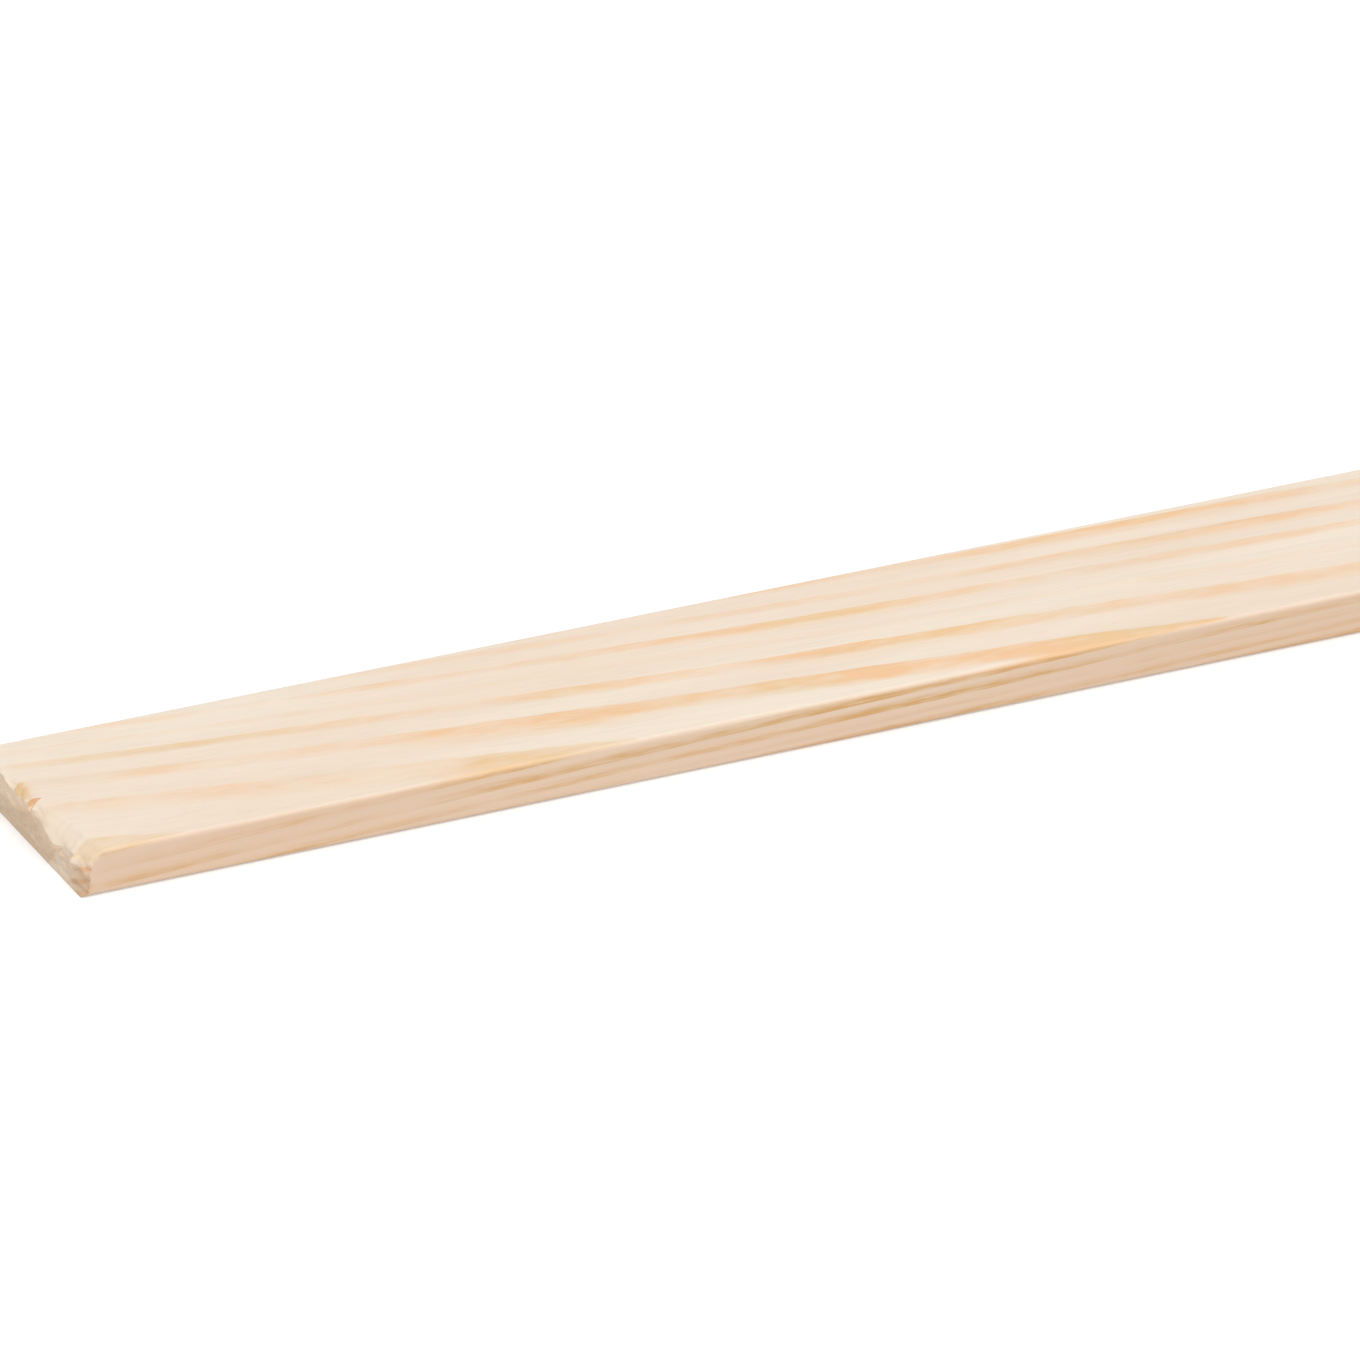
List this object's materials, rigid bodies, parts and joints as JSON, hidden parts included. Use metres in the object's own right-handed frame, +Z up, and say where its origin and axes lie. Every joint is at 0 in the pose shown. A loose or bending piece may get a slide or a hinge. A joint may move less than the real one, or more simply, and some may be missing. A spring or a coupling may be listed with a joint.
{
  "type": "timber plank",
  "caption": "Planed softwood plank with eased long edges, cross-cut at both ends, one end rough with a split and a torn upper edge.",
  "frame": {"origin": "under the middle of the plank, on the face it lies on", "axes": "+X along the length, away from the rough end; +Y across the width; +Z up, through the thickness"},
  "size_m": [1.8, 0.1, 0.018],
  "materials": {
    "planed_pine": "matte"
  },
  "bodies": {
    "root": {"plank": "planed_pine"}
  },
  "joints": []
}
